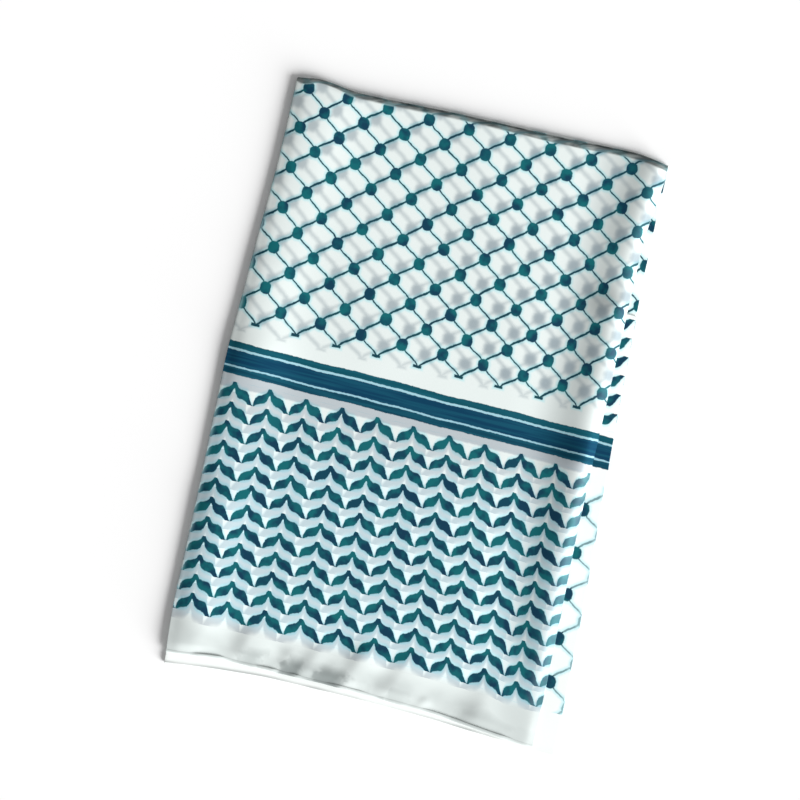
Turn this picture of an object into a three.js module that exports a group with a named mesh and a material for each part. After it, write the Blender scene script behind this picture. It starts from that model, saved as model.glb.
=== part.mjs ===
// A long printed hijab of thin cloth, folded in half along its length and then in thirds, lying flat.
// Millimetres, +X across the folded cloth, +Y to the top fold, +Z up, standing on Z = 0.
// Each stretch of the cloth that shows is a wall of its own; what the folds hide is one rounded solid.
import * as THREE from "three";

// Driving sizes.
const ply = 1; // wall of one layer of cloth
const air = 0.3; // between layers, and where one piece meets the next
const hemWidth = 3.2; // narrow rolled hems
const hemHeight = 1.3;
const underTuck = 11; // how far a layer runs on beneath itself after the left fold
const topReach = 3.6; // how far the top fold's turn bulges
const flatFrom = 12; // the flat layers start here, measured down from the top fold
const flatTo = 560; // and the lower ones end here
const hiddenInset = 24; // the hidden layers stop this far inside the right edge
const tuckedEnd = 148; // the tucked-in third turns back here, down from the top fold
const inset = 3; // the lower layers lie this far inside the top third's left fold
const rightSide = 375; // the right-hand edges are followed down from about this place across
const foldDown = 590; // the bottom fold's ends are read off at this distance down

// Levels of the flat layers: the underside of each.
const upperOfBottom = ply + air;
const middleLevel = 2 * (ply + air);
const topLevel = 3 * (ply + air);
const turnRadius = (2 * ply + air) / 2; // of a layer turned back on itself

// The folded outline, measured down from the top fold and across from the left fold there: the left
// fold, and the right edges of the top third, of the tucked-in third and of the lowest one.
const sides = [
  { down: 0, left: 0.0, top: 374.0, tucked: 375.0, lowest: 375.5 },
  { down: 50, left: 1.5, top: 370.0, tucked: 375.5, lowest: 376.0 },
  { down: 100, left: 1.5, top: 369.5, tucked: 378.0, lowest: 378.0 },
  { down: 155, left: -0.3, top: 371.0, tucked: 381.0, lowest: 380.0 },
  { down: 215, left: -1.0, top: 372.0, tucked: 384.0, lowest: 382.5 },
  { down: 275, left: -2.5, top: 373.0, tucked: 387.5, lowest: 386.0 },
  { down: 370, left: 1.3, top: 375.0, tucked: 394.0, lowest: 392.5 },
  { down: 450, left: 4.5, top: 379.0, tucked: 399.0, lowest: 397.5 },
  { down: 540, left: 8.0, top: 382.0, tucked: 403.0, lowest: 401.5 },
  { down: 600, left: 10.0, top: 383.5, tucked: 405.0, lowest: 403.5 },
];

// The two ends, measured across from the same corner: how far the top fold rises past its mean
// line, and how far down the end hem and the bottom fold lie.
const ends = [
  { across: 0, rise: -2.0, hem: 582.0, fold: 594.0 },
  { across: 22, rise: 2.5, hem: 580.5, fold: 591.5 },
  { across: 60, rise: -2.5, hem: 575.5, fold: 587.0 },
  { across: 110, rise: -1.0, hem: 575.0, fold: 583.0 },
  { across: 190, rise: 2.5, hem: 575.0, fold: 582.5 },
  { across: 280, rise: 5.0, hem: 577.0, fold: 584.0 },
  { across: 345, rise: 7.0, hem: 580.5, fold: 586.0 },
  { across: 375, rise: 2.0, hem: 585.0, fold: 588.0 },
  { across: 405, rise: 0.0, hem: 585.0, fold: 588.0 },
];

// How high the top third stands above what it rests on, by the distance in from its right edge: a
// lip, a long trough beside it, and then the body of the stack.
const crown = [
  { inside: 0, height: 0.0 },
  { inside: 9, height: 0.9 },
  { inside: 18, height: 0.8 },
  { inside: 34, height: 0.4 },
  { inside: 52, height: 1.4 },
  { inside: 90, height: 2.5 },
  { inside: 160, height: 3.0 },
  { inside: 420, height: 3.1 },
];

// Soft puckers that run in from the end hem.
const puckers = [
  { across: 66, width: 17, height: 0.4 },
  { across: 112, width: 15, height: 0.8 },
  { across: 152, width: 12, height: 0.9 },
  { across: 184, width: 14, height: 0.7 },
  { across: 226, width: 20, height: 0.8 },
  { across: 318, width: 24, height: 0.5 },
];
const puckerLength = 52;

// The body of the stack settles towards the end hem.
const settle = { from: 480, to: 580, share: 0.5 };

// How far the corners of the tables are rounded off, to each side.
const sideReach = 22;
const endReach = 9;
const crownReach = 6;

// Heights, as shares of the stack, at which the hidden layers step down on the right.
const upperStep = 0.75;
const lowerStep = 0.35;
const floorSpacing = 0.2; // between the points of their floor that lie under the rounded fold

const { lerp, smoothstep } = THREE.MathUtils;

// A column of a table at a place between its rows.
function readOff(table, key, column, place) {
  const next = table.findIndex((row) => row[key] >= place);
  if (next === 0) return table[0][column];
  if (next < 0) return table.at(-1)[column];
  const low = table[next - 1];
  const high = table[next];
  return lerp(low[column], high[column], (place - low[key]) / (high[key] - low[key]));
}

// The same, averaged over a short stretch, so that the table's corners come out round.
function soft(table, key, column, place, reach) {
  const values = [-1, -0.5, 0, 0.5, 1].map((step) => readOff(table, key, column, place + step * reach));
  return values.reduce((sum, value) => sum + value) / values.length;
}

const sideAt = (edge, down) => soft(sides, "down", edge, down, sideReach);
const endAt = (line, across) => soft(ends, "across", line, across, endReach);

// Numbers from low to high in equal steps.
function spread(low, high, steps) {
  return Array.from({ length: steps + 1 }, (_, i) => lerp(low, high, i / steps));
}

// Height of the top third's face.
function faceHeight(across, down) {
  const inside = Math.max(0, sideAt("top", down) - across);
  const settled = lerp(1, settle.share, smoothstep(down, settle.from, settle.to));
  const body = soft(crown, "inside", "height", inside, crownReach) * settled;
  const nearHem = smoothstep(down, endAt("hem", across) - puckerLength, endAt("hem", across));
  const raised = puckers.map((one) => one.height * Math.exp(-(((across - one.across) / one.width) ** 2)));
  return topLevel + ply + body + nearHem * raised.reduce((sum, value) => sum + value);
}

// Height of the stack at its left fold.
const stackHeight = (down) => faceHeight(sideAt("left", down) + turnRadius, down);

// Where along Y the flat stretches start and end.
const topLine = () => -flatFrom;
const foldLine = () => -flatTo;
const tuckedLine = () => -tuckedEnd;
const hemLine = (across) => hemWidth + air - endAt("hem", across);

// A half turn about (a, z) of a section, from below it round the low side to above it.
function halfTurn(a, z, radius, steps) {
  return spread(-Math.PI / 2, -1.5 * Math.PI, steps).map(
    (angle) => new THREE.Vector2(a + radius * Math.cos(angle), z + radius * Math.sin(angle)),
  );
}

// A line moved to its right-hand side, which makes a wall's inner face from its outer one.
function moved(line, distance) {
  return line.map((point, i) => {
    const ahead = line[Math.min(i + 1, line.length - 1)];
    const along = ahead.clone().sub(line[Math.max(i - 1, 0)]).normalize();
    return new THREE.Vector2(point.x + along.y * distance, point.y - along.x * distance);
  });
}

// A closed solid from cross-sections, each an outer and an inner line of as many points.
function solidOf(rows) {
  const count = rows[0].outer.length;
  const last = count - 1;
  const end = rows.length - 1;
  const faces = [];
  const at = (row, side, i) => (row * 2 + side) * count + i;
  const quad = (a, b, c, d) => faces.push(a, b, c, a, c, d);
  for (let r = 0; r < end; r++) {
    for (let i = 0; i < last; i++) {
      quad(at(r, 0, i), at(r + 1, 0, i), at(r + 1, 0, i + 1), at(r, 0, i + 1));
      quad(at(r, 1, i), at(r, 1, i + 1), at(r + 1, 1, i + 1), at(r + 1, 1, i));
    }
    quad(at(r, 0, 0), at(r, 1, 0), at(r + 1, 1, 0), at(r + 1, 0, 0));
    quad(at(r, 0, last), at(r + 1, 0, last), at(r + 1, 1, last), at(r, 1, last));
  }
  for (let i = 0; i < last; i++) {
    quad(at(0, 0, i), at(0, 0, i + 1), at(0, 1, i + 1), at(0, 1, i));
    quad(at(end, 0, i), at(end, 1, i), at(end, 1, i + 1), at(end, 0, i + 1));
  }
  const points = rows.flatMap((row) => [...row.outer, ...row.inner]);
  const geometry = new THREE.BufferGeometry().setFromPoints(points).setIndex(faces);
  geometry.computeVertexNormals();
  return geometry;
}

const cloth = new THREE.Group();
const folded = new THREE.Group();
cloth.add(folded);

const clothWhite = new THREE.MeshStandardMaterial({ color: 0xeef4f4, roughness: 0.85, metalness: 0 });
const hemWhite = new THREE.MeshStandardMaterial({ color: 0xf6f8f7, roughness: 0.8, metalness: 0 });
const innerWhite = new THREE.MeshStandardMaterial({ color: 0xe3e9ec, roughness: 0.9, metalness: 0 });

function addPiece(name, rows, material) {
  const mesh = new THREE.Mesh(solidOf(rows), material);
  mesh.name = name;
  folded.add(mesh);
}

// Cross-sections that run across the cloth, from one line along Y to another. The section is asked
// for with a function that gives the distance down from the top fold at a place across.
function acrossRows(shares, fromLine, toLine, section) {
  return shares.map((share) => {
    const lineAt = (across) => lerp(fromLine(across), toLine(across), share);
    const { outer, inner } = section((across) => -lineAt(across));
    const place = (p) => new THREE.Vector3(p.x, lineAt(p.x), p.y);
    return { outer: outer.map(place), inner: inner.map(place) };
  });
}

// The top third: the upper layer, turned under along the left fold.
function addTopThird() {
  const across = [...spread(0, 0.84, 15), 0.88, 0.91, 0.94, 0.97, 1];
  const down = [...spread(0, 0.88, 17), 0.91, 0.94, 0.97, 1];
  const rows = acrossRows(down, topLine, hemLine, (downAt) => {
    const left = sideAt("left", downAt(0));
    const right = sideAt("top", downAt(rightSide)) - hemWidth - air;
    const high = stackHeight(downAt(left));
    const tuck = new THREE.Vector2(left + underTuck, high - 2 * turnRadius);
    const turn = halfTurn(left + turnRadius, high - turnRadius, turnRadius, 6);
    const face = across.slice(1).map((share) => {
      const x = lerp(left + turnRadius, right, share);
      return new THREE.Vector2(x, faceHeight(x, downAt(x)));
    });
    const outer = [tuck, ...turn, ...face];
    return { outer, inner: moved(outer, ply) };
  });
  addPiece("top_third", rows, clothWhite);
}

// The bottom third: both layers, the lower one flat on the surface it lies on.
function addBottomThird() {
  const rows = acrossRows(spread(0, 1, 16), topLine, foldLine, (downAt) => {
    const left = sideAt("left", downAt(0)) + inset;
    const right = sideAt("lowest", downAt(rightSide)) - hemWidth - air;
    const flat = spread(right, left + turnRadius, 6).slice(0, -1);
    const below = flat.map((x) => new THREE.Vector2(x, 0));
    const above = flat.map((x) => new THREE.Vector2(x, 2 * turnRadius)).reverse();
    const outer = [...below, ...halfTurn(left + turnRadius, turnRadius, turnRadius, 5), ...above];
    return { outer, inner: moved(outer, ply) };
  });
  addPiece("bottom_third", rows, clothWhite);
}

// The strip of the tucked-in third that shows on the right.
function addMiddleThird() {
  const rows = acrossRows(spread(0, 1, 14), tuckedLine, foldLine, (downAt) => {
    const left = sideAt("top", downAt(rightSide)) - hiddenInset + air;
    const right = sideAt("tucked", downAt(rightSide)) - hemWidth - air;
    const outer = spread(left, right, 3).map((x) => new THREE.Vector2(x, middleLevel + ply));
    return { outer, inner: moved(outer, ply) };
  });
  addPiece("middle_third", rows, clothWhite);
}

// What the folds hide: one solid that fills the stack, with a rounded fold of its own on the left
// and its layers stepped on the right.
function addHiddenLayers() {
  const rows = acrossRows(spread(0, 1, 18), topLine, foldLine, (downAt) => {
    const left = sideAt("left", downAt(0));
    const right = sideAt("top", downAt(rightSide)) - hiddenInset;
    const foldTop = stackHeight(downAt(left)) - 2 * turnRadius - air;
    const radius = (foldTop - middleLevel) / 2;
    const turn = halfTurn(left + inset + radius, middleLevel + radius, radius, 5).slice(1);
    const step = left + underTuck + air;
    const underFace = (x) => faceHeight(x, downAt(x)) - ply - air;
    const covered = spread(step + air, right - 2 * inset, 14).map((x) => new THREE.Vector2(x, underFace(x)));
    const layers = [
      new THREE.Vector2(right - inset, lerp(middleLevel, underFace(right), upperStep)),
      new THREE.Vector2(right, lerp(middleLevel, underFace(right), lowerStep)),
    ];
    const outer = [...turn, new THREE.Vector2(step, foldTop), ...covered, ...layers];
    const floorFrom = left + inset + radius;
    const inner = outer.map((p, i) => {
      const x = i < turn.length ? floorFrom + i * floorSpacing : p.x;
      return new THREE.Vector2(x, middleLevel);
    });
    return { outer, inner };
  });
  addPiece("hidden_layers", rows, innerWhite);
}

// Cross-sections that run along the cloth, from one place across it to another.
function alongRows(places, section) {
  return places.map((across) => {
    const { outer, inner } = section(across);
    const place = (p) => new THREE.Vector3(across, p.x, p.y);
    return { outer: outer.map(place), inner: inner.map(place) };
  });
}

// The top fold: a deep round turn from the face of the top third down to the underside.
function addTopFold() {
  const from = sideAt("left", 0) + inset;
  const start = topLine() + air;
  const rows = alongRows(spread(from, sideAt("top", 0), 24), (across) => {
    const back = endAt("rise", across) - topReach;
    const half = faceHeight(across, 0) / 2;
    const turn = spread(Math.PI / 2, -Math.PI / 2, 8).map(
      (angle) => new THREE.Vector2(back + topReach * Math.cos(angle), half + half * Math.sin(angle)),
    );
    const outer = [new THREE.Vector2(start, 2 * half), ...turn, new THREE.Vector2(start, 0)];
    return { outer, inner: moved(outer, ply) };
  });
  addPiece("top_fold", rows, clothWhite);
}

// The bottom fold: a low round turn from the underside up to the tucked-in third.
function addBottomFold() {
  const from = sideAt("left", foldDown) + inset;
  const radius = (middleLevel + ply) / 2;
  const rows = alongRows(spread(from, sideAt("tucked", foldDown), 20), (across) => {
    const turn = halfTurn(radius - endAt("fold", across), radius, radius, 7);
    const start = foldLine() - air;
    const outer = [new THREE.Vector2(start, 0), ...turn, new THREE.Vector2(start, 2 * radius)];
    return { outer, inner: moved(outer, ply) };
  });
  addPiece("bottom_fold", rows, clothWhite);
}

// A rolled hem's section: a low rounded bar from a place, on a level.
function hemSection(from, level, height) {
  const shape = [
    { share: 0, over: 0.55, under: 0.3 },
    { share: 0.2, over: 0.92, under: 0 },
    { share: 0.5, over: 1, under: 0 },
    { share: 0.8, over: 0.92, under: 0 },
    { share: 1, over: 0.55, under: 0.3 },
  ];
  const at = (share, rise) => new THREE.Vector2(from + share * hemWidth, level + rise * height);
  return {
    outer: shape.map((row) => at(row.share, row.over)),
    inner: shape.map((row) => at(row.share, row.under)),
  };
}

// The hems on the long edges, one for each layer that shows on the right.
function addSideHems() {
  const hems = [
    { name: "top_side_hem", edge: "top", from: topLine, to: hemLine, level: topLevel, height: hemHeight },
    { name: "middle_side_hem", edge: "tucked", from: tuckedLine, to: foldLine, level: middleLevel },
    { name: "bottom_side_hem", edge: "lowest", from: topLine, to: foldLine, level: upperOfBottom },
    { name: "underside_side_hem", edge: "lowest", from: topLine, to: foldLine, level: 0 },
  ];
  for (const hem of hems) {
    const rows = acrossRows(spread(0, 1, 16), hem.from, hem.to, (downAt) =>
      hemSection(sideAt(hem.edge, downAt(rightSide)) - hemWidth, hem.level, hem.height ?? ply),
    );
    addPiece(hem.name, rows, hemWhite);
  }
}

// The hem on the short end of the top third.
function addEndHem() {
  const left = sideAt("left", endAt("hem", 0)) + turnRadius;
  const right = sideAt("top", endAt("hem", rightSide));
  const rows = alongRows(spread(left, right, 30), (across) => {
    const edge = -endAt("hem", across);
    return hemSection(edge, faceHeight(across, -edge) - ply, hemHeight);
  });
  addPiece("end_hem", rows, hemWhite);
}

addTopThird();
addBottomThird();
addMiddleThird();
addHiddenLayers();
addTopFold();
addBottomFold();
addSideHems();
addEndHem();

// The middle of the outline, on the surface that it lies on, is the part's origin.
const outline = new THREE.Box3().setFromObject(folded);
const middle = outline.getCenter(new THREE.Vector3());
folded.position.set(-middle.x, -middle.y, -outline.min.z);

export default cloth;
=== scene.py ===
import math

import bpy
import numpy as np
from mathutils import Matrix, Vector


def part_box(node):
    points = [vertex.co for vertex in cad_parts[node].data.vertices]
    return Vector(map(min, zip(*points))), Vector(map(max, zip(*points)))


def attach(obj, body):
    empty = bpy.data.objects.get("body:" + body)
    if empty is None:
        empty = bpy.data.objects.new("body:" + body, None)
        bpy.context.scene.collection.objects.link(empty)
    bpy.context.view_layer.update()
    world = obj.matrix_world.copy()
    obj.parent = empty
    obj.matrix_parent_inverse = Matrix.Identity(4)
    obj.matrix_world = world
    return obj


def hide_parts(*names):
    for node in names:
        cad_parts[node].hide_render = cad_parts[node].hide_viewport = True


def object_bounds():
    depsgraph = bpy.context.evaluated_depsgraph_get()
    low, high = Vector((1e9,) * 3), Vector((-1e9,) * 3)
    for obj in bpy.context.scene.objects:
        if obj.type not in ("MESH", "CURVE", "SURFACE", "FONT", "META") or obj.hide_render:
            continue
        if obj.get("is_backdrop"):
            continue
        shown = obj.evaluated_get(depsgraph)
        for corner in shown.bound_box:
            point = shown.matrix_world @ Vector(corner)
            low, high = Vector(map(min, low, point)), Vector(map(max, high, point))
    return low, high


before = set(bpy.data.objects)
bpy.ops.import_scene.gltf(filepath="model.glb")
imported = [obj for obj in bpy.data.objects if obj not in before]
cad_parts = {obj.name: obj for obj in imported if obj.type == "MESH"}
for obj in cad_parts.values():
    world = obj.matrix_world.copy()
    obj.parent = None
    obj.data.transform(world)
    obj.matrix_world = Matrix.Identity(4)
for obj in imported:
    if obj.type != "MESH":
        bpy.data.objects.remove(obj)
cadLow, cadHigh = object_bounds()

# A long printed hijab of thin voile, folded in half along its length and then in thirds.
# Metres. The tables measure across from the cloth's top left corner and down from the top fold's
# mean line, as the folded solids do, and toFrame() puts a place into the frame.

ply = 0.001  # one layer's room in the stack
air = 0.0003  # between two layers
hemWidth = 0.0032
hemHeight = 0.0013
hemLap = 0.0027  # this much of it lies over the cloth that it ends
underTuck = 0.011  # how far a layer runs on beneath itself after the left fold
flatFrom = 0.012  # the flat layers start here
flatTo = 0.560  # and the lower ones end here
tuckedEnd = 0.148  # the tucked-in third turns back here
inset = 0.003  # the lower layers lie this far inside the top third's left fold
turnRadius = (2 * ply + air) / 2
middleLevel = 2 * (ply + air)
topLevel = 3 * (ply + air)
clothThickness = 0.0005  # two threads and the air in the weave

sides = {  # the long edges of each layer, by the distance down
    "down": [0.000, 0.024, 0.050, 0.100, 0.155, 0.215, 0.275, 0.370, 0.450, 0.540, 0.600],
    "left": [0.0000, 0.0008, 0.0015, 0.0015, -0.0003, -0.0010, -0.0025, 0.0013, 0.0042, 0.0063, 0.0125],
    "top": [0.3755, 0.3755, 0.3700, 0.3695, 0.3710, 0.3720, 0.3730, 0.3750, 0.3790, 0.3820, 0.3835],
    "tucked": [0.3750, 0.3752, 0.3755, 0.3780, 0.3810, 0.3840, 0.3875, 0.3940, 0.3990, 0.4030, 0.4050],
    "lowest": [0.3755, 0.3757, 0.3760, 0.3780, 0.3800, 0.3825, 0.3860, 0.3925, 0.3975, 0.4015, 0.4035],
}
ends = {  # how far the top fold stands out, and where the end hem and the near fold are
    "across": [0.000, 0.022, 0.060, 0.110, 0.190, 0.280, 0.345, 0.375, 0.405],
    "rise": [-0.0020, 0.0025, -0.0025, -0.0010, 0.0025, 0.0050, 0.0070, 0.0020, 0.0000],
    "hem": [0.5820, 0.5805, 0.5755, 0.5750, 0.5750, 0.5775, 0.5840, 0.5865, 0.5870],
    "fold": [0.5940, 0.5915, 0.5870, 0.5830, 0.5825, 0.5840, 0.5875, 0.5900, 0.5905],
}
crown = {  # height of the top third over what it rests on, by the distance in from its right edge
    "inside": [0.000, 0.009, 0.018, 0.034, 0.052, 0.090, 0.160, 0.420],
    "height": [0.0000, 0.0009, 0.0008, 0.0004, 0.0014, 0.0025, 0.0030, 0.0031],
}


def soft(table, key, column, place, reach):
    # a column read between its rows, averaged over a short stretch so that corners come out round
    steps = (-1, -0.5, 0, 0.5, 1)
    return sum(np.interp(place + step * reach, table[key], table[column]) for step in steps) / len(steps)


def sideAt(edge, down):
    return soft(sides, "down", edge, down, 0.022)


def endAt(line, across):
    return soft(ends, "across", line, across, 0.009)


def smooth(value, low, high):
    share = np.clip((value - low) / (high - low), 0, 1)
    return share * share * (3 - 2 * share)


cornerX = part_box("top_third")[0].x - float(np.min(sideAt("left", np.linspace(0, 0.582, 200))))
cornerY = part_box("hidden_layers")[1].y + flatFrom


def toFrame(across, down, height):
    across, down, height = np.broadcast_arrays(across, down, height)
    return np.stack([cornerX + across, cornerY - down, height], axis=-1)


# Creases and soft swells of the top third: each runs from one place to another.
creases = [
    # the lip along the right edge, where the selvedges lie on one another
    dict(start=(0.365, 0.004), end=(0.363, 0.150), width=0.017, height=0.0040),
    dict(start=(0.363, 0.150), end=(0.365, 0.300), width=0.017, height=0.0041),
    dict(start=(0.365, 0.300), end=(0.373, 0.500), width=0.017, height=0.0040),
    dict(start=(0.346, 0.020), end=(0.345, 0.150), width=0.019, height=0.0027),
    dict(start=(0.345, 0.150), end=(0.347, 0.300), width=0.019, height=0.0029),
    dict(start=(0.347, 0.300), end=(0.355, 0.480), width=0.019, height=0.0029),
    # the swell along the left fold
    dict(start=(0.036, 0.030), end=(0.030, 0.280), width=0.026, height=0.0013),
    dict(start=(0.030, 0.280), end=(0.040, 0.540), width=0.026, height=0.0014),
    dict(start=(0.022, 0.190), end=(0.020, 0.270), width=0.022, height=0.0007),
    dict(start=(0.026, 0.430), end=(0.032, 0.560), width=0.022, height=0.0016),
    # long gentle swells over the body
    dict(start=(0.040, 0.060), end=(0.150, 0.230), width=0.040, height=0.0006),
    dict(start=(0.190, 0.030), end=(0.260, 0.190), width=0.034, height=0.0005),
    dict(start=(0.080, 0.300), end=(0.230, 0.360), width=0.036, height=-0.0006),
    dict(start=(0.240, 0.400), end=(0.300, 0.500), width=0.030, height=0.0007),
    dict(start=(0.050, 0.440), end=(0.120, 0.520), width=0.032, height=0.0006),
    # the end hem stands a little above the cloth it ends
    dict(start=(0.020, 0.581), end=(0.370, 0.585), width=0.026, height=0.0010),
    # puckers that the end hem draws in, each steep on its left and easy on its right
    dict(start=(0.090, 0.544), end=(0.079, 0.580), width=0.012, height=0.0021, easy=2.0),
    dict(start=(0.130, 0.558), end=(0.120, 0.580), width=0.009, height=0.0015, easy=1.5),
    dict(start=(0.156, 0.550), end=(0.144, 0.580), width=0.010, height=0.0020, easy=1.7),
    dict(start=(0.176, 0.556), end=(0.168, 0.580), width=0.010, height=0.0012, easy=1.7),
    dict(start=(0.202, 0.538), end=(0.187, 0.580), width=0.012, height=0.0027, easy=2.0),
    dict(start=(0.245, 0.538), end=(0.229, 0.580), width=0.013, height=0.0022, easy=2.4),
    dict(start=(0.270, 0.566), end=(0.262, 0.578), width=0.004, height=0.0006, easy=1.6),
    dict(start=(0.331, 0.542), end=(0.322, 0.580), width=0.016, height=0.0022, easy=2.0),
]
hemGap = {  # the end hem lies on the near fold, and gapes a little in places
    "across": [
        0.036, 0.044, 0.062, 0.070, 0.101, 0.107, 0.118, 0.124, 0.134, 0.139,
        0.145, 0.170, 0.178, 0.205, 0.214, 0.268, 0.282, 0.350, 0.362,
    ],
    "gap": [
        0.0001, 0.0013, 0.0013, 0.0001, 0.0001, 0.0012, 0.0012, 0.0001, 0.0001, 0.0011,
        0.0001, 0.0001, 0.0006, 0.0007, 0.0001, 0.0001, 0.0011, 0.0012, 0.0000,
    ],
}
settle = dict(  # how the top third's face comes down at its edges
    rollDepth=0.0024,  # it rolls off towards the left fold
    rollWidth=0.0085,
    rollThins=(0.50, 0.56),  # down, half as much towards the end hem
    crownThins=(0.48, 0.58),  # down, and so does the crown
    held=(-0.002, 0.009),  # in from the right edge, which stays down on the layer below
    step=0.0004,  # and lies this much lower
    stepWidth=0.007,
    hemFrom=0.012,  # it settles this far before the end hem
    hemAbove=0.0066,  # by a share of what stands over this height
    hemShare=0.6,
    gape=(0.0042, 0.0016),  # before the end hem it rises into the hem's gaps
    gapeShare=0.9,
)


def creaseHeight(across, down):
    # each crease swells a little unevenly along its length and fades out past its ends
    total = np.zeros(np.broadcast(across, down).shape)
    for one in creases:
        start, end = np.array(one["start"]), np.array(one["end"])
        length = np.linalg.norm(end - start)
        along = (end - start) / length
        run = (across - start[0]) * along[0] + (down - start[1]) * along[1]
        aside = (across - start[0]) * along[1] - (down - start[1]) * along[0]
        past = run - np.clip(run, 0, length)
        uneven = 1 + 0.22 * np.sin(run / length * 5.1 + 70 * start[0])
        width = one["width"] * np.where(aside > 0, one.get("easy", 1), 1)
        total = total + one["height"] * uneven * np.exp(-((aside / width) ** 2) - (past / one["width"]) ** 2)
    return total


def faceHeight(across, down):
    # the height of the top third's outer side over the floor
    inside = np.maximum(0, sideAt("top", down) - across)
    body = soft(crown, "inside", "height", inside, 0.006) * (1 - 0.5 * smooth(down, *settle["crownThins"]))
    held = smooth(inside, *settle["held"])
    roll = np.exp(-(((across - sideAt("left", down)) / settle["rollWidth"]) ** 2))
    roll = settle["rollDepth"] * roll * (1 - 0.5 * smooth(down, *settle["rollThins"]))
    step = settle["step"] * (1 - smooth(inside, 0, settle["stepWidth"]))
    height = topLevel + ply + body + creaseHeight(across, down) * held - roll - step
    hemLine = endAt("hem", across)
    settled = settle["hemShare"] * smooth(down, hemLine - settle["hemFrom"], hemLine)
    height = height - settled * np.maximum(height - settle["hemAbove"], 0)
    gape = settle["gapeShare"] * soft(hemGap, "across", "gap", across, 0.003)
    before, close = settle["gape"]
    return height + gape * smooth(down, hemLine - before, hemLine - close)


# The print, in millimetres of flat cloth: a net of dots, a band and rows of leaves. Along runs from the
# band's upper edge towards the hem. Each stretch of cloth says where its own rows and columns start.
pattern = dict(
    netAcross=41.1,  # from one column of dots to the next
    netAlong=40.2,
    dotAcross=5.6,  # half a dot's size
    dotAlong=6.1,
    dotRoundness=2.5,  # 2 gives ellipses, and more fills their corners
    dotsStop=9.0,  # no dot comes nearer to the net's end
    foot=4.2,  # half as wide as the flat foot of each last point
    footThick=1.6,  # and half as thick
    leafAcross=36.3,
    leafAlong=19.26,
    leafTall=22.0,  # the charts below end here
    leafRows=12,
    bandTo=31.85,
)
netLines = [  # of each slant: direction, place, swing, half its thickness, and how much more at its middle
    (-1, 0.02, -0.04, 0.66, 0.14),
    (1, -0.060, 0.030, 0.78, 0.36),
]

# The leaf pair, charted from its top point: (across, down) in millimetres.
leafUpper = [
    (-14.6, 19.6), (-14.3, 15.0), (-13.2, 11.4), (-10.7, 8.7), (-7.7, 7.4), (-4.7, 5.9), (-2.9, 4.0),
    (-2.1, 1.5), (-0.9, 0.1), (0.9, 0.1), (2.3, 2.0), (4.3, 4.8), (7.3, 6.2), (11.8, 6.4), (13.8, 7.4),
    (15.3, 9.2), (16.8, 12.0), (18.3, 15.0), (20.3, 18.7), (21.7, 19.7),
]
leafLower = [
    (-14.6, 19.8), (-13.7, 19.2), (-12.2, 17.4), (-9.7, 15.9), (-6.7, 14.9), (-3.9, 13.9), (-2.2, 11.6),
    (-1.2, 8.8), (0.0, 5.6), (0.7, 5.4), (1.4, 7.4), (2.8, 10.5), (4.8, 12.8), (7.3, 14.4), (10.3, 14.7),
    (13.3, 15.9), (15.8, 17.9), (17.8, 19.6), (20.3, 20.2), (21.7, 19.9),
]


def linear(code):
    # a Blender colour from an sRGB hex value
    parts = [int(code[i : i + 2], 16) / 255 for i in (1, 3, 5)]
    return tuple(c / 12.92 if c <= 0.04045 else ((c + 0.055) / 1.055) ** 2.4 for c in parts) + (1.0,)


mainSetting = dict(Math="operation", VectorMath="operation", MapRange="interpolation_type", Mix="data_type")


def addNode(tree, kind, inputs=(), main=None, **settings):
    # adds a node; inputs are numbers, colours, sockets or nodes, in order or by name
    node = tree.nodes.new("ShaderNode" + kind)
    if main:
        settings[mainSetting[kind]] = main
    for name, value in settings.items():
        setattr(node, name, value)
    sockets = [socket for socket in node.inputs if socket.enabled]
    named = {socket.name: socket for socket in reversed(sockets)}
    for name, value in inputs.items() if isinstance(inputs, dict) else enumerate(inputs):
        socket = named[name] if isinstance(name, str) else sockets[name]
        if isinstance(value, bpy.types.Node):
            value = next(output for output in value.outputs if output.enabled)
        if isinstance(value, bpy.types.NodeSocket):
            tree.links.new(value, socket)
        else:
            socket.default_value = value
    return node


def addChart(tree, share, chart, kind):
    # A chart of places, both from 0 to 1, as a curve.
    curve = addNode(tree, "FloatCurve", {"Value": share})
    line = curve.mapping.curves[0]
    line.points[0].location, line.points[1].location = chart[0], chart[-1]
    for place in chart[1:-1]:
        line.points.new(*place)
    for point in line.points:
        point.handle_type = kind
    curve.mapping.update()
    return curve


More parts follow.
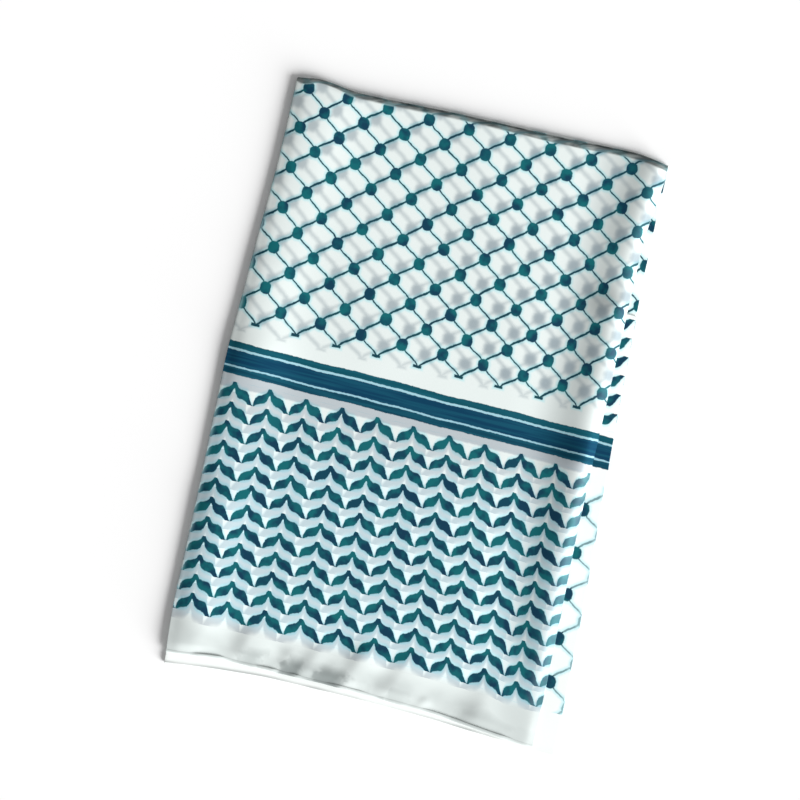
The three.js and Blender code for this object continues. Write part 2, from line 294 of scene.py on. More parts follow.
def drawNet(tree, across, along, lay):
    # Distance in millimetres outside the net's ink, under nought on it.
    a = addNode(tree, "Math", (across, -lay["netColumn"]), "ADD")
    a = addNode(tree, "Math", (a, pattern["netAcross"]), "DIVIDE")
    b = addNode(tree, "Math", (along, -lay["netRow"]), "ADD")
    b = addNode(tree, "Math", (b, pattern["netAlong"]), "DIVIDE")
    past = addNode(tree, "Math", (along, -lay["netEnd"]), "ADD")
    past = addNode(tree, "Math", (past, lay["netSign"]), "MULTIPLY")

    def offCell(value, shift):
        moved = addNode(tree, "Math", (value, shift), "ADD")
        whole = addNode(tree, "Math", (moved,), "ROUND")
        return addNode(tree, "Math", (moved, whole), "SUBTRACT")

    # a dot on each crossing, in every second row half a column along
    half, roundness = pattern["dotAcross"], pattern["dotRoundness"]
    sizes = ((a, pattern["netAcross"] / half), (b, pattern["netAlong"] / pattern["dotAlong"]))
    nearest = None
    for shift in (0, 0.5):
        powers = []
        for value, scale in sizes:
            off = addNode(tree, "Math", (offCell(value, shift),), "ABSOLUTE")
            share = addNode(tree, "Math", (off, scale), "MULTIPLY")
            powers.append(addNode(tree, "Math", (share, roundness), "POWER"))
        ring = addNode(tree, "Math", powers, "ADD")
        ring = addNode(tree, "Math", (ring, 1 / roundness), "POWER")
        nearest = addNode(tree, "Math", (nearest, ring), "MINIMUM") if nearest else ring
    dots = addNode(tree, "Math", (nearest, half, -half), "MULTIPLY_ADD")
    beyondDots = addNode(tree, "Math", (past, pattern["dotsStop"]), "ADD")
    dots = addNode(tree, "Math", (dots, beyondDots), "MAXIMUM")

    # Each slanting line leaves a dot by its corner and swings a little on its way to the next.
    toLine = pattern["netAlong"] / math.sqrt(2)
    fine = lay.get("fine", 1.0)
    lines = None
    for sign, bias, swing, thick, swell in netLines:
        place = addNode(tree, "Math", (b, sign, a), "MULTIPLY_ADD")
        other = addNode(tree, "Math", (a, -sign, b), "MULTIPLY_ADD")
        wave = addNode(tree, "Math", (other, 2 * math.pi), "MULTIPLY")
        wave = addNode(tree, "Math", (wave,), "SINE")
        offset = addNode(tree, "Math", (wave, -swing, -bias), "MULTIPLY_ADD")
        off = offCell(addNode(tree, "Math", (place, offset), "ADD"), 0)
        off = addNode(tree, "Math", (off,), "ABSOLUTE")
        middle = addNode(tree, "Math", (other, math.pi), "MULTIPLY")
        middle = addNode(tree, "Math", (middle,), "SINE")
        middle = addNode(tree, "Math", (middle,), "ABSOLUTE")
        edge = addNode(tree, "Math", (middle, -swell * fine, -thick * fine), "MULTIPLY_ADD")
        line = addNode(tree, "Math", (off, toLine, edge), "MULTIPLY_ADD")
        lines = addNode(tree, "Math", (lines, line), "MINIMUM") if lines else line
    beyond = addNode(tree, "Math", (past, -pattern["footThick"] / 2), "ADD")
    lines = addNode(tree, "Math", (lines, beyond), "MAXIMUM")

    # The flat foot at each last point, a little to its left.
    footAcross = addNode(tree, "Math", (offCell(a, 0.035),), "ABSOLUTE")
    footAcross = addNode(tree, "Math", (footAcross, pattern["netAcross"], -pattern["foot"]), "MULTIPLY_ADD")
    footAlong = addNode(tree, "Math", (past,), "ABSOLUTE")
    footAlong = addNode(tree, "Math", (footAlong, -pattern["footThick"]), "ADD")
    feet = addNode(tree, "Math", (footAcross, footAlong), "MAXIMUM")

    net = addNode(tree, "Math", (dots, lines), "MINIMUM")
    net = addNode(tree, "Math", (net, feet), "MINIMUM")
    if "netStop" in lay:
        blank = addNode(tree, "Math", (along, 8.0, -8.0 * lay["netStop"]), "MULTIPLY_ADD")
        net = addNode(tree, "Math", (net, blank), "MAXIMUM")
    return net, dots


def drawLeaves(tree, across, along, lay):
    # The same distance for the leaves, and the place across within a pair.
    pitch, tall = pattern["leafAcross"], pattern["leafTall"]
    low = leafUpper[0][0]
    aside = addNode(tree, "Math", (across, -lay["leafColumn"] - low), "ADD")
    aside = addNode(tree, "Math", (aside, pitch), "FLOORED_MODULO")
    share = addNode(tree, "Math", (aside, pitch), "DIVIDE")
    rows = addNode(tree, "Math", (along, lay.get("leafSign", 1), -lay["leafTop"]), "MULTIPLY_ADD")
    down = addNode(tree, "Math", (rows, pattern["leafAlong"]), "FLOORED_MODULO")
    edges = []
    for chart in (leafUpper, leafLower):
        curve = addChart(tree, share, [((x - low) / pitch, y / tall) for x, y in chart], "VECTOR")
        edges.append(addNode(tree, "Math", (curve, tall), "MULTIPLY"))
    above = addNode(tree, "Math", (edges[0], down), "SUBTRACT")
    below = addNode(tree, "Math", (down, edges[1]), "SUBTRACT")
    leaves = addNode(tree, "Math", (above, below), "MAXIMUM")
    # the edges slope, so a distance down is shortened to one across the edge
    leaves = addNode(tree, "Math", (leaves, 0.75, -lay.get("fuller", 0.5)), "MULTIPLY_ADD")
    before = addNode(tree, "Math", (rows, -1.0), "MULTIPLY")
    after = addNode(tree, "Math", (rows, -pattern["leafRows"] * pattern["leafAlong"]), "ADD")
    outside = addNode(tree, "Math", (before, after), "MAXIMUM")
    outside = addNode(tree, "Math", (outside, 8.0), "MULTIPLY")
    return addNode(tree, "Math", (leaves, outside), "MAXIMUM"), share


def coverage(tree, distance, blur):
    # 1 inside the ink and 0 outside it, over a soft edge
    return addNode(tree, "MapRange", (distance, -blur, blur, 1.0, 0.0), "SMOOTHSTEP")


bandStripes = [  # from, to, colour
    (0.0, 6.3, "#0A505F"),
    (6.3, 8.5, "#A4D0DC"),
    (8.5, 23.3, "#053C59"),
    (23.3, 25.0, "#9CCAD8"),
    (25.0, 31.85, "#074156"),
]


def drawBand(tree, along, blur):
    # The band as a ramp: its colour, and its cover as alpha.
    lead = 3.0  # the ramp starts and ends this far outside the band
    length = pattern["bandTo"] + 2 * lead
    share = addNode(tree, "Math", (along, 1 / length, lead / length), "MULTIPLY_ADD")
    ramp = addNode(tree, "ValToRGB", (share,))
    places = [(-blur, bandStripes[0][2], 0.0)]
    for start, end, code in bandStripes:
        places += [(start + blur, code, 1.0), (end - blur, code, 1.0)]
    places.append((bandStripes[-1][1] + blur, bandStripes[-1][2], 0.0))
    stops = ramp.color_ramp.elements
    while len(stops) < len(places):
        stops.new(0.5)
    for stop, (place, code, alpha) in zip(stops, places):
        stop.position = (place + lead) / length
        stop.color = linear(code)[:3] + (alpha,)
    return ramp


voile = dict(  # polyester voile: sheer enough that the print of the layer below shows through
    cloth="#E4ECEA",
    loose="#F6FAF8",  # where the cloth lies loose over the floor, more light comes through
    reverse="#D6E0E1",
    halo="#CCF6FD",
    ghost="#93A1A8",
    leafCloth="#E8F7F9",  # a little of the dye came off on the cloth among the leaves
    upperGhost="#A2ABB4",
    leafGhost="#9BB3BF",
    # the grey of the painted shade on the top third
    thin="#8F9796",
    # the grey of the painted shade on the far sides of folds and beside them
    edge="#474E4E",
    inkGreen="#12656C",
    inkBlue="#0F3A52",
    bandStreak="#1B6578",
    lineInk="#143E4A",
    roughness=0.75,  # matte, with a faint bloom from the fibres' ends
    weave=0.9,  # millimetres; the real threads, about 0.15 mm apart, are too fine to show
)
dyeAndShade = dict(  # painted shade on the top third, and where its cloth takes the leaves' dye, in millimetres of flat cloth
    dyeStarts=(36.0, 120.0),  # along, the cloth takes the leaves' dye
    dyeEnds=(266.0, 276.0),
    strip=(272.0, 292.0),  # along, painted shade over the plain strip at the hem, where fewer layers lie beneath
    stripShade=0.24,
    hemShadow=(280.0, 297.0),  # along, painted shadows of the puckers at the end hem
    hemShadowLean=0.5,  # each of the painted shadows there leans to the right as it runs up
    hemShadowFoot=298.0,
    hemShadowWander=4.0,  # and wanders
    hemShadowTo=380.0,
    lipRises=(290.0, 326.0),  # across, painted shade in the hollow before the lip
    lipFalls=(342.0, 368.0),
    hollowShade=0.29,
)
hemShadowChart = [  # millimetres across, and how dark the painted shadows at the end hem are
    (0, 0.15), (40, 0.05), (56, 0.2), (74, 0.62), (89, 0.1), (101, 0.6), (114, 1.0), (126, 0.5), (138, 0.95),
    (152, 1.0), (163, 0.5), (176, 0.15), (186, 0.3), (198, 0.0), (210, 0.45), (226, 0.35), (248, 0.0),
    (270, 0.15), (285, 0.4), (318, 0.45), (342, 0.15), (380, 0.0),
]
slip = dict(  # how the layer beneath has slipped against the top one, in millimetres
    left=(40.0, 200.0),  # across, it slips more towards the left
    top=(-240.0, -90.0),  # along, and towards the top
    net=(-16.0, -6.0),  # along, the net ends here
    aside=4.0,  # to the right towards the top, and as much again at the left
    asideNet=2.0,  # and a little to the left on the net, but for its left part
    down=11.7,
    downMore=5.0,  # further down on the net's left part, and as much again towards the top
    slant=0.0115,  # and less so towards the right
    closer=(40.0, 260.0),  # across, the two layers lie closer towards the right, where the dots show most
    dots=(0.42, 0.84),
)


farSide = dict(  # painted shade over the top fold's far side, in metres past the fold's start
    starts=(0.0006, 0.0024),
    ends=(0.0090, 0.0115),
    nearTone=0.80,  # and the painted shade beside the other folds
)


def softNoise(tree, flat, scale, detail, reach):
    noise = addNode(tree, "TexNoise", {"Vector": flat, "Scale": scale, "Detail": detail})
    noise = addNode(tree, "VectorMath", (noise.outputs["Color"], (0.5, 0.5, 0.5)), "SUBTRACT")
    return addNode(tree, "VectorMath", (noise, reach), "MULTIPLY")


def patches(tree, flat, scale, detail, spread):
    # noise over the cloth, opened up to the last two numbers
    noise = addNode(tree, "TexNoise", {"Vector": flat, "Scale": scale, "Detail": detail})
    return addNode(tree, "MapRange", (noise.outputs[0], *spread))


def plainVoile(name, colour):
    material = bpy.data.materials.new(name)
    material.use_nodes = True
    surface = material.node_tree.nodes["Principled BSDF"]
    surface.inputs["Base Color"].default_value = linear(colour)
    surface.inputs["Roughness"].default_value = voile["roughness"]
    surface.inputs["Specular IOR Level"].default_value = 0.1
    return material


def dyeAndPaintedShade(tree, flat, across, along, colour):
    # The top third's tone: the leaves' dye, and painted shade over the strip at the hem, in the shadows of
    # the hem's puckers and in the hollow before the lip; and how far a place is in among the leaves.
    among = addNode(tree, "MapRange", (along, *dyeAndShade["dyeStarts"], 0.0, 1.0), "SMOOTHSTEP")
    pastLeaves = addNode(tree, "MapRange", (along, *dyeAndShade["dyeEnds"], 1.0, 0.0), "SMOOTHSTEP")
    among = addNode(tree, "Math", (among, pastLeaves), "MULTIPLY")
    colour = addNode(tree, "Mix", (among, colour, linear(voile["leafCloth"])), "RGBA")
    # painted shade over the plain strip at the hem, in patches
    thin = addNode(tree, "MapRange", (along, *dyeAndShade["strip"], 0.0, dyeAndShade["stripShade"]), "SMOOTHSTEP")
    loose = patches(tree, flat, 0.034, 1.5, (0.35, 0.65, 0.35, 1.4))
    thin = addNode(tree, "Math", (thin, loose), "MULTIPLY")

    # painted shadows of the end hem's puckers, from a chart across the hem
    lean, wander = dyeAndShade["hemShadowLean"], dyeAndShade["hemShadowWander"]
    above = addNode(tree, "Math", (along, lean, -lean * dyeAndShade["hemShadowFoot"]), "MULTIPLY_ADD")
    wander = patches(tree, flat, 0.10, 2.0, (0.3, 0.7, -wander, wander))
    hemPlace = addNode(tree, "Math", (across, above), "ADD")
    hemPlace = addNode(tree, "Math", (hemPlace, wander), "ADD")
    share = addNode(tree, "Math", (hemPlace, 1 / dyeAndShade["hemShadowTo"]), "MULTIPLY")
    hemShadow = addChart(tree, share, [(x / dyeAndShade["hemShadowTo"], y) for x, y in hemShadowChart], "AUTO_CLAMPED")
    nearHem = addNode(tree, "MapRange", (along, *dyeAndShade["hemShadow"], 0.0, 1.0), "SMOOTHSTEP")
    hemShadow = addNode(tree, "Math", (hemShadow, nearHem), "MULTIPLY")
    thin = addNode(tree, "Math", (thin, hemShadow), "MAXIMUM")

    # painted shade in the hollow before the lip
    rising = addNode(tree, "MapRange", (across, *dyeAndShade["lipRises"], 0.0, dyeAndShade["hollowShade"]), "SMOOTHSTEP")
    falling = addNode(tree, "MapRange", (across, *dyeAndShade["lipFalls"], 1.0, 0.0), "SMOOTHSTEP")
    lip = addNode(tree, "Math", (rising, falling), "MULTIPLY")
    thin = addNode(tree, "Math", (thin, lip), "MAXIMUM")
    return addNode(tree, "Mix", (thin, colour, linear(voile["thin"])), "RGBA"), among


def showBeneath(tree, across, along, beneath, colour, among):
    # The layer below faces the other way round, and its print shows as a blurred grey one.
    left = addNode(tree, "MapRange", (across, *slip["left"], 1.0, 0.0))
    top = addNode(tree, "MapRange", (along, *slip["top"], 1.0, 0.0))
    onNet = addNode(tree, "MapRange", (along, *slip["net"], 1.0, 0.0))
    leftNet = addNode(tree, "Math", (left, onNet), "MULTIPLY")
    aside = addNode(tree, "Math", (left, slip["aside"], slip["aside"]), "MULTIPLY_ADD")
    aside = addNode(tree, "Math", (aside, top), "MULTIPLY")
    aside = addNode(tree, "Math", (leftNet, slip["asideNet"], aside), "MULTIPLY_ADD")
    aside = addNode(tree, "Math", (onNet, -slip["asideNet"], aside), "MULTIPLY_ADD")
    slid = addNode(tree, "Math", (leftNet, top), "ADD")
    slid = addNode(tree, "Math", (slid, -slip["downMore"], -slip["down"]), "MULTIPLY_ADD")
    other = addNode(tree, "Math", (across, -1.0, aside), "MULTIPLY_ADD")
    lower = addNode(tree, "Math", (across, slip["slant"], slid), "MULTIPLY_ADD")
    lower = addNode(tree, "Math", (along, lower), "ADD")
    net, dots = drawNet(tree, other, lower, beneath)
    leaves, _ = drawLeaves(tree, other, lower, beneath)
    band = addNode(tree, "Math", (lower, -pattern["bandTo"] / 2), "ADD")
    band = addNode(tree, "Math", (band,), "ABSOLUTE")
    band = addNode(tree, "Math", (band, -pattern["bandTo"] / 2), "ADD")
    closer = addNode(tree, "MapRange", (across, *slip["closer"], *slip["dots"]))
    netGhost = linear(voile["ghost"])
    leafGhost = addNode(tree, "Mix", (among, linear(voile["upperGhost"]), linear(voile["leafGhost"])), "RGBA")
    for distance, blur, strength, tone in (
        (band, 1.2, 0.70, leafGhost),
        (leaves, 2.6, 0.56, leafGhost),
        (net, 2.4, 0.46, netGhost),
        (dots, 3.8, closer, netGhost),
    ):
        layer = coverage(tree, distance, blur)
        layer = addNode(tree, "Math", (layer, strength), "MULTIPLY")
        colour = addNode(tree, "Mix", (layer, colour, tone), "RGBA")
    return colour


def darkenFolds(tree, flat, past, near, colour):
    # Painted shade: the far side of a fold lies in shade and shows the ink of all its layers edge on, and is
    # drawn dark; so is the cloth beside the other folds.
    over = addNode(tree, "MapRange", (past, *farSide["starts"], 0.0, 1.0), "SMOOTHSTEP")
    under = addNode(tree, "MapRange", (past, *farSide["ends"], 1.0, 0.0), "SMOOTHSTEP")
    far = addNode(tree, "Math", (over, under), "MULTIPLY")
    # the painted shade comes and goes along the fold
    layers = patches(tree, flat, 0.09, 2.0, (0.35, 0.65, 0.66, 0.96))
    far = addNode(tree, "Math", (far, layers), "MULTIPLY")
    side = addNode(tree, "MapRange", (near, 0.0, 1.0, 0.0, farSide["nearTone"]), "SMOOTHSTEP")
    far = addNode(tree, "Math", (far, side), "MAXIMUM")
    return addNode(tree, "Mix", (far, colour, linear(voile["edge"])), "RGBA"), far


def mixDye(tree, flat, net, dots, leaves, inPair):
    # The ink's shade changes from dot to dot, and runs from green to blue along each leaf pair.
    patchy = addNode(tree, "TexNoise", {"Vector": flat, "Scale": 0.05, "Detail": 2.5, "Roughness": 0.65})
    patchy = addNode(tree, "MapRange", (patchy.outputs[0], 0.41, 0.58, 0.0, 0.95))
    leafBlue = addNode(tree, "MapRange", (inPair, 0.3, 0.8, -0.1, 0.22))
    leafBlue = addNode(tree, "Math", (leafBlue, coverage(tree, leaves, 0.6)), "MULTIPLY")
    shade = addNode(tree, "Math", (patchy, leafBlue), "ADD", use_clamp=True)
    dye = addNode(tree, "Mix", (shade, linear(voile["inkGreen"]), linear(voile["inkBlue"])), "RGBA")
    onLine = addNode(tree, "MapRange", (dots, 0.4, 1.6, 0.0, 0.8))
    onLine = addNode(tree, "Math", (onLine, coverage(tree, net, 0.6)), "MULTIPLY")
    return addNode(tree, "Mix", (onLine, dye, linear(voile["lineInk"])), "RGBA"), onLine


def coverInk(tree, ink, across, far, near, onLine, lay):
    # how fully the ink covers: less under the painted shade on the far side of a fold, less under the painted
    # highlight at the lip's edge, and where a stretch says so
    cover = coverage(tree, ink, 0.45)
    bare = addNode(tree, "Math", (far, -1.35, 1.0), "MULTIPLY_ADD", use_clamp=True)
    paler = [bare, addNode(tree, "MapRange", (near, -1.0, 0.0, 0.80, 1.0))]
    if "paleLines" in lay:
        paler.append(addNode(tree, "Math", (onLine, -lay["paleLines"], 1.0), "MULTIPLY_ADD"))
    if "paleFrom" in lay:
        paler.append(addNode(tree, "MapRange", (across, lay["paleFrom"], lay["paleFrom"] + 2.5, 1.0, 0.6)))
    for share in paler:
        cover = addNode(tree, "Math", (cover, share), "MULTIPLY")
    return cover


def addWeave(tree, flat, surface):
    # Plain weave, drawn coarser than it is so that a little of it shows.
    waves = []
    for axis in ("X", "Y"):
        thread = {"Vector": flat, "Scale": 0.314 / voile["weave"], "Distortion": 0.6, "Detail": 1.0}
        wave = addNode(tree, "TexWave", thread, bands_direction=axis)
        waves.append(wave.outputs["Fac"])
    weave = addNode(tree, "Math", waves, "ADD")
    bump = addNode(tree, "Bump", {"Strength": 0.12, "Distance": 0.0002, "Height": weave})
    tree.links.new(bump.outputs["Normal"], surface.inputs["Normal"])


def printedVoile(name, lay, beneath=None):
    cloth = voile["cloth" if beneath else "loose"]
    material = plainVoile(name, cloth)
    tree = material.node_tree
    surface = tree.nodes["Principled BSDF"]

    place = addNode(tree, "UVMap", uv_map="cloth")
    flat = addNode(tree, "VectorMath", (place, (1000, 1000, 1000)), "MULTIPLY")
    # The ink crept along the threads, and the cloth lies a little askew, so nothing is quite straight.
    creep = softNoise(tree, flat, 0.28, 2.0, (1.5, 1.5, 0))
    drift = softNoise(tree, flat, 0.021, 1.0, (3.6, 3.0, 0))
    moved = addNode(tree, "VectorMath", (flat, creep), "ADD")
    moved = addNode(tree, "VectorMath", (moved, drift), "ADD")
    split = addNode(tree, "SeparateXYZ", (moved,))
    across, along = split.outputs["X"], split.outputs["Y"]
    colour = linear(cloth)
    if beneath:
        colour, among = dyeAndPaintedShade(tree, flat, across, along, colour)
        colour = showBeneath(tree, across, along, beneath, colour, among)

    folds = addNode(tree, "UVMap", uv_map="folds")
    folds = addNode(tree, "SeparateXYZ", (folds,))
    past, near = folds.outputs["X"], folds.outputs["Y"]
    colour, far = darkenFolds(tree, flat, past, near, colour)

    net, dots = drawNet(tree, across, along, lay)
    leaves, inPair = drawLeaves(tree, across, along, lay)
    ink = addNode(tree, "Math", (net, leaves), "MINIMUM")
    # the cloth is a little bluer right beside the ink
    halo = addNode(tree, "MapRange", (ink, 0.0, 3.4, 0.85, 0.0), "SMOOTHSTEP")
    colour = addNode(tree, "Mix", (halo, colour, linear(voile["halo"])), "RGBA", blend_type="MULTIPLY")
    dye, onLine = mixDye(tree, flat, net, dots, leaves, inPair)
    cover = coverInk(tree, ink, across, far, near, onLine, lay)
    colour = addNode(tree, "Mix", (cover, colour, dye), "RGBA")

    band = drawBand(tree, along, 0.3)
    # the band's ink ran thinner in long streaks
    streak = addNode(tree, "VectorMath", (flat, (0.012, 0.30, 0.0)), "MULTIPLY")
    streak = patches(tree, streak, 1.0, 2.0, (0.42, 0.62, 0.0, 0.38))
    bandInk = (streak, band.outputs["Color"], linear(voile["bandStreak"]))
    bandInk = addNode(tree, "Mix", bandInk, "RGBA", blend_type="LIGHTEN")
    colour = addNode(tree, "Mix", (band.outputs["Alpha"], colour, bandInk), "RGBA")
    tree.links.new(next(o for o in colour.outputs if o.enabled), surface.inputs["Base Color"])
    addWeave(tree, flat, surface)
    return material


def normalsOf(points):
    # the side that a grid's columns and rows turn to the eye
    normal = np.cross(np.gradient(points, axis=1), np.gradient(points, axis=0))
    return normal / np.linalg.norm(normal, axis=-1, keepdims=True)


def makeObject(name, vertices, faces, printed, baked, material):
    # printed holds each vertex's place on the flat cloth, and baked each corner's place in the baked texture
    mesh = bpy.data.meshes.new(name)
    mesh.from_pydata(vertices.tolist(), [], faces)
    corners = np.empty(len(mesh.loops), dtype=np.int32)
    mesh.loops.foreach_get("vertex_index", corners)
    mesh.uv_layers.new(name="cloth").data.foreach_set("uv", printed[corners].ravel())
    mesh.uv_layers.new(name="OFBake").data.foreach_set("uv", baked.ravel())
    mesh.shade_smooth()
    mesh.set_sharp_from_angle(angle=math.radians(55))
    mesh.materials.append(material)
    piece = bpy.data.objects.new(name, mesh)
    bpy.context.scene.collection.objects.link(piece)
    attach(piece, "root")
    return piece


def addCloth(name, points, printed, material, folds=None, thickness=clothThickness):
    # A closed sheet from a grid of places on its outer side.
    rows, columns = points.shape[:2]
    count = rows * columns
    number = np.arange(count).reshape(rows, columns)
    outer = np.stack([number[:-1, :-1], number[:-1, 1:], number[1:, 1:], number[1:, :-1]], axis=-1)
    outer = outer.reshape(-1, 4)
    edges = np.concatenate([outer[:, [i, (i + 1) % 4]] for i in range(4)])
    codes = edges.min(axis=1).astype(np.int64) * count + edges.max(axis=1)
    _, first, times = np.unique(codes, return_index=True, return_counts=True)
    rim = edges[first[times == 1]]
    rim = np.stack([rim[:, 1], rim[:, 0], rim[:, 0] + count, rim[:, 1] + count], axis=-1)
    faces = np.concatenate([outer, outer[:, ::-1] + count, rim])

    down, across = np.divmod(np.arange(count), columns)
    share = np.stack([across / (columns - 1), down / (rows - 1)], axis=-1)
    step = 1 / max(len(rim), 1)
    k = np.arange(len(rim))[:, None] * step
    flat = np.stack([k + np.array([0, 1, 1, 0]) * step, np.zeros_like(k) + np.array([0, 0, 1, 1])], axis=-1)
    baked = np.concatenate([
        share[outer] * (0.98, 0.82) + (0.01, 0.17),
        share[outer[:, ::-1]] * (0.98, 0.12) + (0.01, 0.01),
        flat * (0.98, 0.01) + (0.01, 0.145),
    ])

    within = points - normalsOf(points) * thickness
    vertices = np.concatenate([points.reshape(-1, 3), within.reshape(-1, 3)])
    used = np.unique(faces)
    renumber = np.zeros(2 * count, dtype=int)
    renumber[used] = np.arange(len(used))
    flatPrint = np.concatenate([printed.reshape(-1, 2)] * 2)
    piece = makeObject(name, vertices[used], renumber[faces].tolist(), flatPrint[used], baked, material)
    if folds is not None:
        corners = np.array(faces).ravel()
        places = np.concatenate([folds.reshape(-1, 2)] * 2)[corners]
        piece.data.uv_layers.new(name="folds").data.foreach_set("uv", places.ravel())
    return piece


def addTube(name, rings, printed, material):
    # A closed body through rings of places, [ring, place, xyz], capped at both ends.
    count, around = rings.shape[:2]
    number = np.arange(count * around).reshape(count, around)
    after = np.roll(number, -1, axis=1)
    walls = np.stack([number[:-1], after[:-1], after[1:], number[1:]], axis=-1).reshape(-1, 4)
    along, place = np.divmod(np.arange(count * around), around)
    share = np.stack([place / around, along / (count - 1)], axis=-1)
    corner = share[walls]
    corner[:, 1:3, 0] = corner[:, 0:1, 0] + 1 / around
    wallBake = corner.reshape(-1, 2) * (0.98, 0.86) + (0.01, 0.01)
    angle = np.arange(around) / around * 2 * math.pi
    disc = np.stack([np.cos(angle), np.sin(angle)], axis=-1) * 0.05
    faces = walls.tolist() + [number[0, ::-1].tolist(), number[-1].tolist()]
    baked = np.concatenate([wallBake, disc + (0.1, 0.94), disc + (0.3, 0.94)])
    return makeObject(name, rings.reshape(-1, 3), faces, printed.reshape(-1, 2), baked, material)


def flatOval(wave):
    return np.sign(wave) * np.abs(wave) ** 0.75


def addHem(name, edge, outward, normal, size, printed, printStep, material, proud, seed):
    # A narrow rolled hem: the edge turned over twice, so a flat bead that swells and thins a little.
    around = 14
    angle = np.arange(around) / around * 2 * math.pi
    chance = np.random.default_rng(seed)
    length = np.concatenate([[0], np.cumsum(np.linalg.norm(np.diff(edge, axis=0), axis=1))])
    phase = chance.uniform(0, 2 * math.pi, 3)
    swell = 1 + 0.06 * np.sin(length / 0.0093 + phase[0]) + 0.05 * np.sin(length / 0.0231 + phase[1])
    swell = swell + 0.04 * np.sin(length / 0.0047 + phase[2])
    width, height = size
    centre = edge + outward * (width / 2 - hemLap) - normal * (height / 2 - proud)
    wide = (flatOval(np.cos(angle)) * width / 2)[None, :] * swell[:, None]
    tall = (flatOval(np.sin(angle)) * height / 2)[None, :] * (0.97 + 0.5 * (swell[:, None] - 1))
    rings = centre[:, None] + outward[:, None] * wide[..., None] + normal[:, None] * tall[..., None]
    if np.dot(np.cross(outward[0], normal[0]), edge[1] - edge[0]) < 0:
        rings, wide = rings[:, ::-1], wide[:, ::-1]
    flatPrint = printed[:, None] + (wide[..., None] + width / 2) * np.array(printStep)
    return addTube(name, rings, flatPrint, material)


# Where the print falls on each stretch of cloth.
topLay = {  # the net and leaves lean to the right as they run down the top third
    "down": [0.000, 0.029, 0.233, 0.309, 0.523, 0.600],
    "lean": [-0.0003, 0.0003, 0.0066, 0.0096, 0.0187, 0.0220],
    "spread": [1.000, 1.000, 1.000, 1.000, 1.022, 1.028],
}
tuckedLay = {
    "down": [0.140, 0.247, 0.272, 0.3035, 0.3238, 0.3475, 0.390, 0.432, 0.476, 0.520, 0.620],
    "along": [-0.1344, -0.0256, 0.0, 0.03185, 0.0500, 0.0701, 0.1103, 0.1505, 0.1907, 0.2309, 0.3235],
    "lean": [-0.0104, -0.0037, -0.0023, -0.0009, 0.0, 0.0011, 0.0032, 0.0052, 0.0074, 0.0095, 0.0144],
}
bottomLay = {
    "down": [0.000, 0.060, 0.100, 0.148, 0.600],
    "lean": [-0.0002, 0.0010, 0.0024, 0.0056, 0.0210],
}

# The cloth isn't pulled quite flat, so its print comes out of line: by how much, and on which stretch.
onNet = dict(above=(0.245, 0.262))
onLeaves = dict(below=(0.300, 0.312))
lowest = dict(below=(0.440, 0.530))
sags = [  # down
    dict(by=0.0011, **onNet),
    dict(by=0.0011, rightOf=(0.240, 0.300), **onNet),
    dict(by=0.0007, rightOf=(0.240, 0.300), below=(0.150, 0.190), **onNet),
    dict(by=0.0010, rightOf=(0.250, 0.310), **onLeaves),
    dict(by=0.0016, rightOf=(0.325, 0.352), **onLeaves),
    dict(by=0.0012, leftOf=(0.015, 0.055), **onLeaves),
    dict(by=0.0010, rightOf=(0.270, 0.320), **lowest),
    dict(by=0.0030, rightOf=(0.325, 0.352), **lowest),
    dict(by=-0.0008, leftOf=(0.250, 0.300), below=(0.360, 0.430)),
]
takenUp = [  # to the right, where the lip along the right edge takes up cloth
    dict(by=0.00108),
    dict(by=0.00252, below=(0.010, 0.090)),
]


def stretchShare(stretch, across, down):
    # 1 on the stretch that a row names and 0 off it, with soft ends
    share = 1.0
    for place, after, before in ((across, "rightOf", "leftOf"), (down, "below", "above")):
        if after in stretch:
            share = share * smooth(place, *stretch[after])
        if before in stretch:
            share = share * (1 - smooth(place, *stretch[before]))
    return share


def drawn(across, down):
    # How far the print has moved right and down from its place.
    lip = smooth(across, 0.332 - 0.020 * stretchShare(onNet, across, down), 0.352)
    aside = lip * sum(one["by"] * stretchShare(one, across, down) for one in takenUp)
    aside = aside - 0.001 * stretchShare(dict(leftOf=(0.015, 0.060)), across, down)
    return aside, sum(one["by"] * stretchShare(one, across, down) for one in sags)


def topPrint(across, down):
    # Rows of the net bow a little; the band and the leaves run straight.
    aside, sag = drawn(across, down)
    netTop = 0.2708 - 0.003 * ((across - 0.187) / 0.187) ** 2
    bandTop = 0.2683 + 0.0023 * across / 0.373
    share = smooth(down, 0.230, 0.266)
    start = netTop * (1 - share) + bandTop * share + sag
    lean = soft(topLay, "down", "lean", down, 0.010)
    spread = soft(topLay, "down", "spread", down, 0.010)
    return np.stack(np.broadcast_arrays((across + aside - lean) / spread, down - start), axis=-1)


def tuckedPrint(across, down):
    along = soft(tuckedLay, "down", "along", down, 0.001)
    lean = soft(tuckedLay, "down", "lean", down, 0.006)
    column = 0.3743  # the outermost column of the net is pulled out a little towards the selvedge
    return np.stack(np.broadcast_arrays(column + (across - lean - column) * 0.89, along), axis=-1)


def bottomPrint(across, down):
    lean = soft(bottomLay, "down", "lean", down, 0.006)
    return np.stack(np.broadcast_arrays(across - lean, (down - 0.0599) * 1.01 + 1.0), axis=-1)


